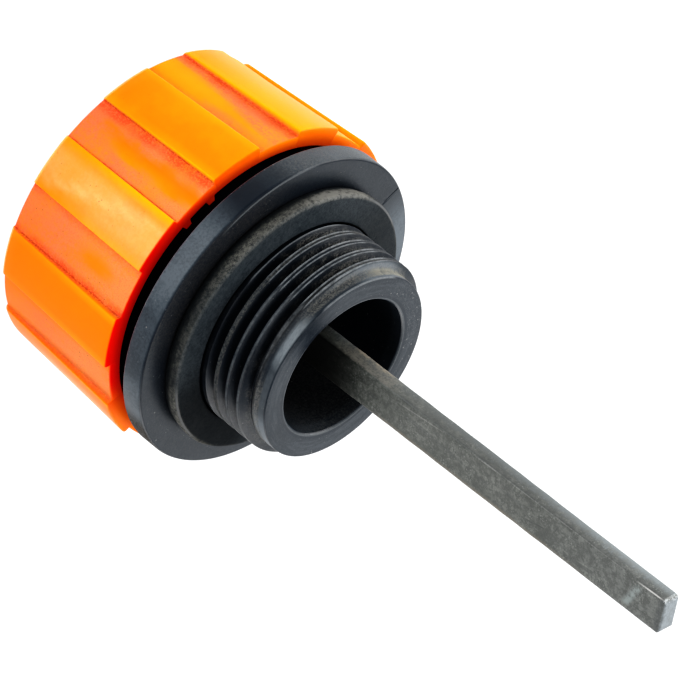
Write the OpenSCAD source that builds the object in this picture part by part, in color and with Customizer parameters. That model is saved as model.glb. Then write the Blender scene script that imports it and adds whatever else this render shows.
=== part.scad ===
// Tank filler cap: ribbed knob cover snapped over a threaded plug, with a flat
// rubber seal, a flat steel dipstick, and a foam breather filter and a splash
// guard inside. Millimetres. +Z runs along the cap's axis towards the tip of the
// dipstick, +X along the width of the dipstick's section. The cap stands on the
// flat end of its knob, whose outer face is z = 0.

/* [Knob cover] */
// Height of the knob from its flat end to its open rim
knob_h = 19; // [18:0.5:22]
// Outer radius over the raised pads at the open rim
pad_r_rim = 21.4; // [21:0.1:23]
// Outer radius over the raised pads at the flat end
pad_r_end = 20.1; // [19.8:0.1:20.6]
// Outer radius in the grooves at the open rim
groove_r_rim = 20.6; // [20.4:0.1:20.8]
// Outer radius in the grooves at the flat end
groove_r_end = 19.7; // [19.4:0.1:19.8]
// Number of raised pads
pads = 10; // [6:1:12]
// Angle that one pad covers, in degrees
pad_angle = 18.8; // [12:0.2:22]
// Angle of the first pad's middle from +X, in degrees
pad_phase = 16; // [0:1:36]
// Rounding of the flat end's outer edge
knob_end_round = 0.6; // [0.3:0.1:1.6]
// Inner radius of the knob wall at the open rim
knob_in_r_rim = 18.9; // [18.6:0.1:19.2]
// Inner radius of the knob wall at the flat end
knob_in_r_end = 18.2; // [18:0.1:18.4]
// Thickness of the knob's end wall
knob_end_t = 2; // [1.6:0.1:2.4]

/* [Plug flange] */
// Air gap between the knob's rim and the flange
rim_gap = 1.9; // [1.4:0.1:3]
// Flange radius
flange_r = 20.4; // [19.6:0.1:21]
// Flange thickness
flange_t = 3; // [2.4:0.1:4]
// Rounding of the flange's two edges
flange_round = 0.4; // [0.2:0.1:0.6]

/* [Threaded neck] */
// Thread major radius (pipe thread 3/4, 26.44 mm)
thread_r = 13.2; // [12.8:0.05:13.22]
// Thread root radius, also the radius of the plain lead-in at the neck's end
lead_r = 12.08; // [11.6:0.02:12.2]
// Length of the neck from the seal to its end
neck_len = 9.35; // [9:0.05:16]
// Length of the plain lead-in
lead_len = 1.8; // [1:0.1:2.4]
// Bore radius
bore_r = 9; // [8.4:0.1:9.2]
// Chamfer at the bore's mouth
bore_chamfer = 0.2; // [0.1:0.1:0.8]

/* [Seal] */
// Outer radius of the rubber seal
seal_r = 17; // [16.4:0.1:18]
// Thickness of the rubber seal
seal_t = 2.25; // [1.5:0.05:3]
// Rounding of the seal's outer edges
seal_round = 0.45; // [0.2:0.05:0.6]

/* [Dipstick] */
// Width of the dipstick's section
stick_w = 4.8; // [4:0.1:5.4]
// Thickness of the dipstick's section
stick_t = 2.2; // [1.6:0.1:2.6]
// Length of the dipstick beyond the end of the neck
stick_out = 51.6; // [20:0.2:120]
// Bevel along the dipstick's four long edges
stick_bevel = 0.25; // [0.1:0.05:0.4]
// Lean of the dipstick in its socket, in degrees, as on the photographed cap
stick_lean = 1.05; // [0:0.05:1.2]
// Direction of the lean from +X, in degrees
stick_lean_dir = -45; // [-180:5:180]

/* [Hidden] */
$fn = 96;

// stations along the axis
z_flange = knob_h + rim_gap;            // back of the flange
z_seal = z_flange + flange_t;           // front of the flange, back of the seal
z_seal_face = z_seal + seal_t;          // sealing face
z_end = z_seal_face + neck_len;         // end of the neck
z_lead = z_end - lead_len;              // lead-in meets the thread chamfer
z_thread = z_lead - 0.7;                // thread's full diameter begins here

relief_r = thread_r - 0.3;              // neck under the seal
seal_in_r = thread_r + 0.1;             // the seal slips over the thread

// hub that carries the knob, and the breather chamber inside it
hub_r = 16;
hub_in_r = 13.6;
hub_z = 4;                              // hub's end, on the knob's inner land
crown_z0 = z_flange - 3;                // crown: the wall that closes the bore
crown_z1 = crown_z0 + 2.5;
crown_r = 9.2;
guard_step_r = bore_r - 0.7;
guard_z = crown_z1 + 2.1;               // splash guard's seat
socket_r = 5;
socket_z = crown_z1 - 9.4;              // closed end of the dipstick's socket
stick_z0 = socket_z + 1.5;              // inner end of the dipstick
lean_z = crown_z1 - 0.7;                // the dipstick leans about this height
foam_t = 8;
skirt_r = 17.4;
skirt_in_r = 16.1;
skirt_z = 13;
bead_z = 9;
key_w = 3;
slots = 8;                              // slots in the knob's inner skirt
rib_phase = 28.5;                       // ribs inside the knob's wall
rib_gap = 11.8;                         // angle between the two ribs of a pair
socket_gap = 0.03;

// quarter-round left outside a rounded corner, in the plane of a turned profile:
// x, z is the corner; sx, sz point from the corner out of the material
module corner(x, z, r, sx, sz) {
    translate([x - sx * r, z - sz * r]) difference() {
        translate([sx > 0 ? 0 : -2 * r, sz > 0 ? 0 : -2 * r]) square(2 * r);
        circle(r = r, $fn = 48);
    }
}

// turned profile of the knob's outer form, with a drafted side and a rounded end
module drafted_profile(r_end, r_rim) {
    dr = r_rim - r_end;
    len = sqrt(dr * dr + knob_h * knob_h);
    cx = r_end + knob_end_round * (dr - len) / knob_h;
    zt = knob_end_round * (1 - dr / len);
    difference() {
        polygon([[0, 0], [r_end, 0], [r_rim, knob_h], [0, knob_h]]);
        difference() {
            translate([cx, -1]) square([4, 1 + zt]);
            translate([cx, knob_end_round]) circle(r = knob_end_round, $fn = 64);
        }
    }
}

// what is cut away between two pads: a sector outside the grooves' own drafted form
module groove_cut() {
    c = 0.4;
    rotate([0, 0, pad_angle / 2]) rotate_extrude(angle = 360 / pads - pad_angle, $fn = 160) polygon([
        [groove_r_end - c - 1, -1], [groove_r_end, c],
        [groove_r_rim + (groove_r_rim - groove_r_end) / knob_h, knob_h + 1],
        [30, knob_h + 1], [30, -1]]);
}

// radial box from r0 to r1, width w, between two heights
module radial_box(r0, r1, w, z0, z1) {
    translate([r0, -w / 2, z0]) cube([r1 - r0, w, z1 - z0]);
}

module knob_cover() {
    color("orange") difference() {
        union() {
            difference() {
                rotate_extrude($fn = 160) drafted_profile(pad_r_end, pad_r_rim);
                for (i = [0 : pads - 1]) rotate([0, 0, pad_phase + i * 360 / pads]) groove_cut();
                // cavity inside the wall
                rotate_extrude($fn = 160) polygon([
                    [0, knob_end_t], [knob_in_r_end, knob_end_t], [knob_in_r_rim, knob_h],
                    [knob_in_r_rim, knob_h + 1], [0, knob_h + 1]]);
            }
            // land that the hub's end bears on, and the skirt round the hub
            rotate_extrude() difference() {
                union() {
                    translate([hub_in_r - 0.3, knob_end_t - 0.5]) square([skirt_r - hub_in_r + 0.3, hub_z - knob_end_t + 0.5]);
                    translate([skirt_in_r, knob_end_t - 0.5]) square([skirt_r - skirt_in_r, skirt_z - knob_end_t + 0.5]);
                }
                // groove for the hub's snap bead
                translate([hub_r - 0.15, bead_z]) circle(r = 0.55, $fn = 32);
            }
            // tube that holds the foam filter down
            translate([0, 0, knob_end_t - 0.5]) difference() {
                cylinder(r = 9.2, h = crown_z0 - foam_t - knob_end_t + 0.5);
                translate([0, 0, -1]) cylinder(r = 8, h = 20);
            }
            // small ribs down the inside of the wall, in four pairs
            for (i = [0 : 3], j = [0 : 1]) rotate([0, 0, rib_phase + i * 90 + j * rib_gap]) intersection() {
                radial_box(knob_in_r_end - 0.8, knob_in_r_rim + 0.6, 1.1, knob_end_t - 0.5, knob_h);
                rotate_extrude() polygon([
                    [knob_in_r_end - 0.6, 0],
                    [groove_r_end - 0.5, 0],
                    [groove_r_rim - 0.5, knob_h],
                    [knob_in_r_rim - 0.9, knob_h]]);
            }
        }
        // slots in the skirt: every second one takes a key of the hub
        for (i = [0 : slots - 1]) rotate([0, 0, rib_phase + 22.5 + i * 360 / slots])
            radial_box(skirt_in_r - 0.4, skirt_r + 0.4, key_w + 0.1, 5, skirt_z + 1);
    }
}

module plug_body() {
    color([0.13, 0.14, 0.16]) union() {
        difference() {
            rotate_extrude($fn = 160) difference() {
                polygon([
                    [0, socket_z], [socket_r, socket_z], [socket_r, crown_z0],
                    [crown_r, crown_z0], [crown_r, crown_z1], [hub_in_r, crown_z1],
                    [hub_in_r, hub_z], [hub_r - 0.4, hub_z], [hub_r, hub_z + 0.4],
                    [hub_r, z_flange], [flange_r, z_flange], [flange_r, z_seal],
                    [relief_r, z_seal], [relief_r, z_seal_face + 0.05],
                    [thread_r, z_seal_face + 0.05], [thread_r, z_thread], [lead_r, z_lead],
                    [lead_r, z_end], [bore_r + bore_chamfer, z_end],
                    [bore_r, z_end - bore_chamfer], [bore_r, guard_z],
                    [guard_step_r, guard_z], [guard_step_r, crown_z1], [0, crown_z1]]);
                corner(flange_r, z_flange, flange_round, 1, -1);
                corner(flange_r, z_seal, flange_round, 1, 1);
                corner(lead_r, z_end, 0.3, 1, 1);
            }
            // socket for the dipstick
            stick_frame() translate([-stick_w / 2 - socket_gap, -stick_t / 2 - socket_gap, stick_z0])
                cube([stick_w + 2 * socket_gap, stick_t + 2 * socket_gap, 20]);
            // breathing holes through the crown
            for (i = [0 : 5]) rotate([0, 0, 30 + i * 60]) translate([6.6, 0, crown_z0 - 1])
                cylinder(r = 0.9, h = 5, $fn = 32);
            // notches that let air over the hub's end
            for (i = [0 : 3]) rotate([0, 0, rib_phase + 67.5 + i * 90])
                radial_box(hub_in_r - 0.6, hub_r + 0.6, key_w, hub_z - 1, hub_z + 2.5);
        }
        // snap bead and the keys that turn with the knob
        rotate_extrude() intersection() {
            translate([hub_r - 0.15, bead_z]) circle(r = 0.5, $fn = 32);
            translate([hub_r - 0.6, bead_z - 1]) square([2, 2]);
        }
        for (i = [0 : 3]) rotate([0, 0, rib_phase + 22.5 + i * 90])
            radial_box(hub_r - 0.6, skirt_r - 0.3, key_w, 6, 12);
    }
}

module seal_ring() {
    color([0.16, 0.15, 0.14]) rotate_extrude($fn = 160) difference() {
        translate([seal_in_r, z_seal]) square([seal_r - seal_in_r, seal_t]);
        corner(seal_r, z_seal, seal_round, 1, -1);
        corner(seal_r, z_seal_face, seal_round, 1, 1);
    }
}

// the dipstick's own frame: leaning about the socket's mouth
module stick_frame() {
    translate([0, 0, lean_z]) rotate([0, 0, stick_lean_dir]) rotate([0, stick_lean, 0])
        rotate([0, 0, -stick_lean_dir]) translate([0, 0, -lean_z]) children();
}

module dipstick() {
    b = stick_bevel;
    w = stick_w / 2;
    t = stick_t / 2;
    len = z_end + stick_out - stick_z0;
    e = 0.5; // end corners
    color([0.33, 0.33, 0.32]) stick_frame() translate([0, 0, stick_z0]) intersection() {
        linear_extrude(height = len) polygon([
            [-w + b, -t], [w - b, -t], [w, -t + b], [w, t - b],
            [w - b, t], [-w + b, t], [-w, t - b], [-w, -t + b]]);
        // blunt corners at both ends, seen across the width
        translate([0, 5, 0]) rotate([90, 0, 0]) linear_extrude(height = 10) polygon([
            [-w + e, 0], [w - e, 0], [w + 0.01, e], [w + 0.01, len - e],
            [w - e, len], [-w + e, len], [-w - 0.01, len - e], [-w - 0.01, e]]);
    }
}

module foam_filter() {
    color([0.55, 0.56, 0.52]) translate([0, 0, crown_z0 - foam_t]) difference() {
        cylinder(r = hub_in_r - 0.2, h = foam_t);
        translate([0, 0, -1]) cylinder(r = socket_r + 0.3, h = foam_t + 2);
    }
}

// disc with a raised collar, pressed into the bore on the step below the crown
module splash_guard() {
    color([0.2, 0.2, 0.21]) difference() {
        rotate_extrude() polygon([
            [0, guard_z], [bore_r - 0.02, guard_z], [bore_r - 0.02, guard_z + 2.6],
            [bore_r - 0.8, guard_z + 2.6], [bore_r - 1, guard_z + 1.2], [0, guard_z + 1.2]]);
        stick_frame() translate([-stick_w / 2 - 0.25, -stick_t / 2 - 0.25, guard_z - 2])
            cube([stick_w + 0.5, stick_t + 0.5, 6]);
        for (i = [0 : 3]) rotate([0, 0, i * 90]) translate([5.2, 0, guard_z - 1])
            cylinder(r = 1.1, h = 4, $fn = 32);
    }
}

knob_cover();
plug_body();
seal_ring();
dipstick();
foam_filter();
splash_guard();
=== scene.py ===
# Tank filler cap with a dipstick: the looks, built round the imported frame.
# Lengths below are millimetres until mesh() turns them into metres.
import math

import bpy
import numpy as np
from mathutils import Matrix, Vector


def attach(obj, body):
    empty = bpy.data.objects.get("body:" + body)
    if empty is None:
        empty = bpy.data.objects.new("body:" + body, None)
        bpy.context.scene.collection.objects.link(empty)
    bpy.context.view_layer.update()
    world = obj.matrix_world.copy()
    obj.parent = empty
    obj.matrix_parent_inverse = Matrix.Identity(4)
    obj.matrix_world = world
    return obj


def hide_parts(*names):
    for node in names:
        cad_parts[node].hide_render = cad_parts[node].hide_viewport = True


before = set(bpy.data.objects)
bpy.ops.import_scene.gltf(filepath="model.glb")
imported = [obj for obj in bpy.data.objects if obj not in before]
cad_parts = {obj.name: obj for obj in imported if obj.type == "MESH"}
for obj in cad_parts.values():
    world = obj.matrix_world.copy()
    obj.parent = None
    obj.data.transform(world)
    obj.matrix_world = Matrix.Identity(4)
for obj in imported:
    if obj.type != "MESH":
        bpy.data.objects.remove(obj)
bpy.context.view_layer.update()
scene = bpy.context.scene
TAU = 2 * math.pi
rng = np.random.default_rng(7)


# ---------------------------------------------------------------- camera
def camera():
    right = Vector((0.1713, -0.7155, 0.6776)).normalized()
    back = Vector((0.6150, 0.6150, 0.4940)).normalized()
    right = (right - back * right.dot(back)).normalized()
    up = back.cross(right)
    at = Vector((0, 0, 0.0355)) - right * 0.0004225 + up * 0.003056 + back * 1.1236
    cam = bpy.data.cameras.new("camera")
    cam.sensor_fit = "HORIZONTAL"
    cam.sensor_width = 36
    cam.lens = 529.41
    cam.clip_start, cam.clip_end = 0.05, 20
    o = bpy.data.objects.new("camera", cam)
    o.matrix_world = Matrix((
        (right.x, up.x, back.x, at.x), (right.y, up.y, back.y, at.y),
        (right.z, up.z, back.z, at.z), (0, 0, 0, 1)))
    scene.collection.objects.link(o)
    scene.camera = o
    return right, up, back


right, up, back = camera()


# ---------------------------------------------------------------- mesh tools
def fillets(pts):
    """A turned profile: points (r, z, radius, steps), each corner rounded."""
    out = []
    n = len(pts)
    for i, p in enumerate(pts):
        r, z = p[0], p[1]
        f = p[2] if len(p) > 2 else 0
        k = p[3] if len(p) > 3 else 4
        if i in (0, n - 1) or f <= 0:
            out.append((r, z))
            continue
        c = np.array((r, z), float)
        a = np.array(pts[i - 1][:2], float) - c
        b = np.array(pts[i + 1][:2], float) - c
        la, lb = np.linalg.norm(a), np.linalg.norm(b)
        a, b = a / la, b / lb
        ang = math.acos(max(-1, min(1, float(a @ b))))
        t = min(f / math.tan(ang / 2), 0.48 * la, 0.48 * lb)
        f = t * math.tan(ang / 2)
        mid = a + b
        mid /= np.linalg.norm(mid)
        centre = c + mid * f / math.sin(ang / 2)
        s, e = c + a * t - centre, c + b * t - centre
        w = math.acos(max(-1, min(1, float(s @ e) / f / f)))
        for j in range(k + 1):
            q = j / k
            v = (math.sin((1 - q) * w) * s + math.sin(q * w) * e) / math.sin(w)
            out.append(tuple(centre + v))
    return np.array(out)


def spread(pts, most):
    """The same line with no step longer than most."""
    out = [pts[0]]
    for a, b in zip(pts[:-1], pts[1:]):
        k = max(1, int(math.ceil(np.linalg.norm(b - a) / most)))
        out += [a + (b - a) * j / k for j in range(1, k + 1)]
    return np.array(out)


def weld(verts, quads, attrs):
    key = np.round(verts * 1e5).astype(np.int64)  # 0.00001 mm
    _, first, inverse = np.unique(key, axis=0, return_index=True, return_inverse=True)
    inverse = inverse.reshape(-1)
    verts = verts[first]
    attrs = {k: v[first] for k, v in attrs.items()}
    faces = []
    q = inverse[quads]
    whole = (q[:, 0] != q[:, 1]) & (q[:, 1] != q[:, 2]) & (q[:, 2] != q[:, 3]) & (q[:, 3] != q[:, 0]) \
        & (q[:, 0] != q[:, 2]) & (q[:, 1] != q[:, 3])
    faces = [tuple(f) for f in q[whole]]
    for f in q[~whole]:
        g = [f[i] for i in range(4) if f[i] != f[i - 1]]
        if len(g) == 3 and len(set(g)) == 3:
            faces.append(tuple(g))
    return verts, faces, attrs


def mesh(name, verts, faces, attrs=None):
    me = bpy.data.meshes.new(name)
    me.from_pydata((np.asarray(verts) / 1000).tolist(), [], [tuple(int(i) for i in f) for f in faces])
    me.validate()
    for k, v in (attrs or {}).items():
        a = me.attributes.new(k, "FLOAT", "POINT")
        a.data.foreach_set("value", np.asarray(v, np.float32))
    me.shade_smooth()
    o = bpy.data.objects.new(name, me)
    scene.collection.objects.link(o)
    return o


def sharpen(o, degrees):
    """Edges over this angle are drawn sharp."""
    o.data.set_sharp_from_angle(angle=math.radians(degrees))


def tube_quads(nv, nu, close=True):
    """Quads of an nv by nu grid, round in u."""
    v = np.arange(nv - 1)[:, None]
    u = np.arange(nu if close else nu - 1)[None, :]
    w = (u + 1) % nu
    q = np.stack([v * nu + u, v * nu + w, (v + 1) * nu + w, (v + 1) * nu + u], -1)
    return q.reshape(-1, 4)


def smooth(x, a, b):
    t = np.clip((x - a) / (b - a), 0, 1)
    return t * t * (3 - 2 * t)


def bump1(x, c, w):
    return np.exp(-((x - c) / w) ** 2)


def wrap(a):
    """Degrees, to -180..180."""
    return (a + 180) % 360 - 180


def waves(a, z, seed, scale=1.0):
    """Soft repeatable noise, about -1..1, over an angle in radians and a height."""
    g = np.random.default_rng(seed)
    out = 0
    for _ in range(7):
        k, m = g.integers(1, 9), g.uniform(0.15, 0.9)
        out = out + g.uniform(0.5, 1) * np.sin(k * a + m * z * scale + g.uniform(0, TAU))
    return out / 3.2


# ---------------------------------------------------------------- knob
PADS, PAD_ANGLE, PAD_PHASE = 10, 18.8, 16.0
RIBS = [28.7 + 90 * i for i in range(4)] + [40.4 + 90 * i for i in range(4)]
SLOTS = [51.0 + 45 * i for i in range(8)]


def step_line(width):
    """Height 0..1 across one pad edge against arc length in mm, both corners rounded."""
    return fillets([(-1.2, 0), (-width / 2, 0, 0.16, 4), (width / 2, 0.8, 0.17, 5), (1.2, 0.8)])


def knob():
    edge = step_line(0.10)
    half = PAD_ANGLE / 2
    # angles that carry the pad edges, then the ribs and the skirt's slots
    marks = []
    for i in range(PADS):
        c = PAD_PHASE + i * 360 / PADS
        for x, _ in edge:
            d = math.degrees(x / 21.0)
            marks += [c - half + d, c + half - d]
        marks += list(np.linspace(c - half + 3.4, c + half - 3.4, 7))
        marks += list(np.linspace(c + half + 3.4, c + 36 - half - 3.4, 6))
    for c in RIBS:
        marks += [c + d for d in (-2.1, -1.75, -1.6, -1.3, 1.3, 1.6, 1.75, 2.1)]
    for c in SLOTS:
        marks += [c - 5.36, c - 5.30, c + 5.30, c + 5.36]
    ang = np.unique(np.round(np.mod(marks, 360), 4))
    rad = np.radians(ang)
    # pad height 0..1 at each angle
    s = np.zeros(len(ang))
    for i in range(PADS):
        c = PAD_PHASE + i * 360 / PADS
        d = np.radians(half - np.abs(wrap(ang - c))) * 21.0
        s = np.maximum(s, np.where(np.abs(wrap(ang - c)) < 18, np.interp(d, edge[:, 0], edge[:, 1] / 0.8), 0))
    rib = np.zeros(len(ang))
    for c in RIBS:
        rib = np.maximum(rib, 1 - smooth(np.abs(wrap(ang - c)), 1.3, 1.85))
    slot = np.zeros(len(ang))
    for c in SLOTS:
        slot = np.maximum(slot, (np.abs(wrap(ang - c)) < 5.33) * 1.0)

    def outer(r_end, r_rim, rnd):
        return [(0, 0), (r_end, 0, rnd, 9), (r_rim, 19.0, 0.24, 5), (18.9, 19.0, 0.3, 4), (18.2, 2.0, 0.5, 3)]
    inner = [(17.4, 2.0, 0.3, 3), (17.4, 13.0, 0.15, 2), (16.1, 13.0, 0.15, 2), (16.1, 9.55), (16.4, 9.0, 0.3, 4),
             (16.1, 8.45), (16.1, 4.0, 0.15, 2), (13.3, 4.0, 0.15, 2), (13.3, 2.0, 0.3, 3), (9.2, 2.0, 0.3, 3),
             (9.2, 9.9, 0.12, 2), (8.0, 9.9, 0.12, 2), (8.0, 2.0, 0.3, 3), (0, 2.0)]
    pad = fillets(outer(20.1, 21.4, 0.62) + inner)
    gro = fillets(outer(19.7, 20.6, 0.42) + inner)
    # finer steps on the flat end, the side and the inner wall, the same in both
    pr, gr = [pad[0]], [gro[0]]
    for i in range(1, len(pad)):
        length = np.linalg.norm(pad[i] - pad[i - 1])
        k = max(1, int(round(length / 1.25))) if length > 2 else 1
        for j in range(1, k + 1):
            q = j / k
            pr.append(pad[i - 1] + (pad[i] - pad[i - 1]) * q)
            gr.append(gro[i - 1] + (gro[i] - gro[i - 1]) * q)
    pr, gr = np.array(pr), np.array(gr)
    n_out = int(np.argmax((pr[:, 0] < 18.4) & (np.arange(len(pr)) > 20) & (pr[:, 1] < 2.3)))
    R = gr[:, None, 0] + (pr - gr)[:, None, 0] * s[None, :]
    Z = gr[:, None, 1] + (pr - gr)[:, None, 1] * s[None, :]
    A = np.broadcast_to(rad[None, :], R.shape)
    # outer skin: it isn't perfectly round or straight
    side = np.zeros(len(pr))
    side[: n_out] = 1
    outer_side = (side[:, None] > 0) & (R > 19.25)
    R = R + np.where(outer_side, (0.030 * waves(A, Z, 3, 0.35) - 0.012) * smooth(Z, 0, 3), 0)
    # ribs inside the wall
    wall = (np.arange(len(pr))[:, None] < n_out + 2) & (R <= 19.12) & (R > 18.1) & (Z > 2.2)
    R = R - np.where(wall, rib[None, :] * (0.6 + 0.3 * (Z - 2) / 17), 0)
    # slots in the skirt
    skirt = (np.arange(len(pr))[:, None] >= n_out) & (R < 17.6) & (R > 16.0) & (Z > 5)
    cut = skirt & (slot[None, :] > 0)
    R = np.where(cut & (R < 16.75), 16.1, R)
    R = np.where(cut & (R >= 16.75), 17.4, R)
    Z = np.where(cut, 5.0, Z)
    P = np.stack([R * np.cos(A), R * np.sin(A), Z], -1)
    P[0, :, :2] = 0
    P[-1, :, :2] = 0

    # how the skin looks, from where it is
    deg = np.degrees(A)
    S = np.broadcast_to(s[None, :], R.shape)
    off = np.stack([wrap(deg - (PAD_PHASE + i * 36)) for i in range(PADS)], -1)
    k = np.argmin(np.abs(off), -1)
    from_pad = np.take_along_axis(off, k[..., None], -1)[..., 0]      # degrees from the nearest pad's middle
    in_groove = 1 - smooth(S, 0.05, 0.6)
    on_pad = smooth(S, 0.4, 0.95)
    out_side = np.where(outer_side, 1.0, 0.0)
    near_edge = np.abs(np.abs(from_pad) - half)                       # degrees from a pad edge
    az = wrap(deg)
    n1 = waves(A, Z, 11, 1.0)
    n2 = waves(A, Z, 12, 1.6)
    # film of pale dust in the grooves, with bare orange islands that fingers have wiped
    film = in_groove * (0.94 + 0.30 * n1 - 0.15 * np.exp(-near_edge / 3.0))
    film = film * (1 - in_groove * smooth(bump1(az, 34.6 + 0.7 * np.sin(Z * 0.9), 3.4), 0.2, 0.75) * smooth(Z, 3.0, 6.5))
    film = film * (1 - 0.8 * in_groove * bump1(az, 31.0, 1.6) * smooth(n2, -0.3, 0.5))
    from_az = -6.6 + 0.045 * np.clip(Z, 0, 19) ** 1.8
    to_az = 7.0 - 5.3 * smooth(Z, 5, 11)
    clean = smooth(az, from_az - 1.6, from_az + 1.4) * (1 - smooth(az, to_az - 1.2, to_az + 1.2))
    film = film * (1 - 0.97 * in_groove * clean) * (1 - 0.45 * smooth(az, 0, 2) * (1 - smooth(az, 7, 9)))
    film = film * (1 - in_groove * smooth(az, -78, -66) * (1 - smooth(az, -29, -20)))
    film = film * (1 - 0.92 * in_groove * smooth(bump1(az, 69.4, 3.4) * bump1(Z, 13.0, 3.2), 0.12, 0.80))
    film = film * (1 - (1 - smooth(az, 99.3, 102.0)) * smooth(az, 90, 92))
    film = film * (1 - smooth(az, 90, 92) * (1 - smooth(az, 111, 113)) * 0.60 * (1 - smooth(Z, 3, 11)))
    film = np.clip(film, 0, 1.2)
    # light painted on the pads: cream of dust and painted sheen, painted yellow light towards one side, painted pale
    # pink sheen on the other
    swoosh = 57.6 - 0.95 * (Z - 2) + 0.034 * (Z - 2) ** 2 - 0.0008 * (Z - 2) ** 3
    low = 0.10 + 0.34 * smooth(Z, 3, 14)
    dust_and_sheen = on_pad * smooth(az, 43.6, 48.8) * (1 - (1 - low) * smooth(az, 54.5, 60.5)) * (1 - smooth(az, 62, 63))
    dust_and_sheen = dust_and_sheen * (0.34 + 0.15 * smooth(Z, 3, 9) + 0.05 * n2)
    dust_and_sheen = dust_and_sheen + 0.30 * on_pad * bump1(az, swoosh, 1.05) * smooth(Z, 0.5, 2.5) * (1 - 0.3 * smooth(Z, 12, 17))
    dust_and_sheen = dust_and_sheen * (1 - 0.35 * on_pad * bump1(az, swoosh + 3.2, 2.0) * bump1(Z, 7.5, 4.5))
    rise = smooth(Z, 1, 12)
    # painted light: yellower where more light falls, and along one pad edge
    lit_yellow = on_pad * (1 - smooth(az, -14, 22)) * smooth(az, -90, -40) * (0.45 + 0.55 * rise)
    lit_yellow = lit_yellow + in_groove * np.clip(0.62 * bump1(az, -1.0, 6.0) * (1 - 0.45 * bump1(Z, 12.5, 3.5)) + 0.8 * bump1(az, -42, 14), 0, 1)
    lit_yellow = lit_yellow + on_pad * bump1(az, 43.6, 1.2) * (0.25 + 0.75 * smooth(Z, 2, 14))
    # painted highlight on the pad at the limb
    limb_highlight = on_pad * bump1(az, -27.5, 7.5)
    # painted sheen, pale pink, on the pads at the other limb
    limb_sheen = on_pad * smooth(az, 117.5, 129.0) * (1 - smooth(az, 136, 142)) * (0.06 + 0.94 * smooth(Z, 1.5, 9.5)) * (1 - 0.6 * smooth(Z, 15.5, 18.5))
    # dirt and painted shade, deep red, in the corners of the grooves
    low_side = from_pad > 0
    groove_c = np.where(low_side, az - from_pad + 18, az - from_pad - 18)
    strong = low_side == (wrap(groove_c) < 45)
    width = np.where(strong, np.where(wrap(groove_c) > 50, 1.25, 3.7) + 1.2 * smooth(az, 100, 108), 0.6)
    corner_dirt_and_shade = in_groove * np.where(strong, 0.95, 0.75) * np.exp(-(near_edge / width) ** 4)
    corner_dirt_and_shade = corner_dirt_and_shade * (0.85 + 0.4 * n2) * (1 - 0.45 * smooth(az, 98, 106)) * (1 - 0.8 * bump1(az, -42, 14))
    # dirt and painted shadow: a thin dark line at the foot of each step
    line = in_groove * np.exp(-(near_edge / 0.38) ** 2) * np.where(strong, 1.0, 0.55) * (1 - smooth(az, 98, 104))
    line = line * ((wrap(groove_c) > 20) | (wrap(groove_c) < -90))
    # painted shade, with dirt, on the step's own face, where it looks towards the front
    slope = smooth(S, 0.03, 0.12) * (1 - smooth(S, 0.80, 0.96)) * smooth(az, 66, 70) * (1 - smooth(az, 124, 130))
    slope = slope * (from_pad < 0) * (1 - 0.8 * smooth(Z, 11, 16) * (az < 90))
    corner_dirt_and_shade = np.maximum(corner_dirt_and_shade, np.where(az > 95, 0.45, 0.9) * slope)
    # bare orange in the middle of one groove, made redder as painted shade
    tan = in_groove * bump1(az, 31.8, 3.4)
    # the rim face, which the material paints dark red as shade
    rim = smooth(Z, 18.82, 18.98) * smooth(R, 16.5, 17.5)
    # painted shade: the rib ends at the rim dark red
    ribbed = rim * rib[None, :] * (R < 19.0)
    # painted shade: the inside of the shell dark red
    inside = np.where(out_side > 0, 0.0, smooth(Z, 2.5, 3.0) * smooth(R, 15, 16))
    # painted highlight along the pad edges
    shift = np.where((az > 66) & (az < 125) & (from_pad < 0), 1.0, 0.0)
    edge_glint = on_pad * np.exp(-((near_edge - shift) / 0.55) ** 2) * np.where(az > 20, 0.35 + 0.65 * smooth(Z, 3, 14), 1.0)
    warm = in_groove * smooth(Z, 5.5, 15) * smooth(az, 10, 20) * (1 - smooth(az, 140, 165))
    # painted highlight on the rim's inner edge
    inner = smooth(Z, 18.6, 18.85) * (1 - smooth(R, 18.98, 19.16)) * (R > 18.6)
    # painted highlight on the rounding of the flat end
    edge = (1 - smooth(Z, 0.30, 0.62)) * smooth(R, 19.2, 19.6) * smooth(S, 0.5, 1)
    attrs = {"film": film * out_side, "dust_and_sheen": dust_and_sheen * out_side, "lit_yellow": lit_yellow * out_side, "limb_highlight": limb_highlight * out_side,
             "limb_sheen": limb_sheen * out_side, "corner_dirt_and_shade": corner_dirt_and_shade * out_side, "rim": rim, "inside": inside, "edge_glint": edge_glint * out_side,
             "edge": edge, "ribbed": ribbed, "line": line * out_side, "tan": tan * out_side, "warm": warm * out_side,
             "inner": inner}
    V, F, T = weld(P.reshape(-1, 3), tube_quads(*R.shape), {k: v.reshape(-1) for k, v in attrs.items()})
    o = mesh("knob_cover_skin", V, F, T)
    sharpen(o, 40)
    return o


# ---------------------------------------------------------------- plug
PITCH, CREST0 = 1.86, 28.006                         # crest line's height at angle 0
ROOT, MAJOR, PILOT = 12.04, 13.19, 12.08
LEAN = math.radians(1.05)


def stick_place(P):
    """Points of the dipstick's own upright frame, leaned as the photographed one is."""
    d = math.radians(-45)
    k = np.array([-math.sin(d), math.cos(d), 0.0])
    c = np.array([0, 0, 19.7])
    v = np.asarray(P, float) - c
    return v * math.cos(LEAN) + np.cross(k, v) * math.sin(LEAN) + np.outer(v @ k, k) * (1 - math.cos(LEAN)) + c


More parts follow.
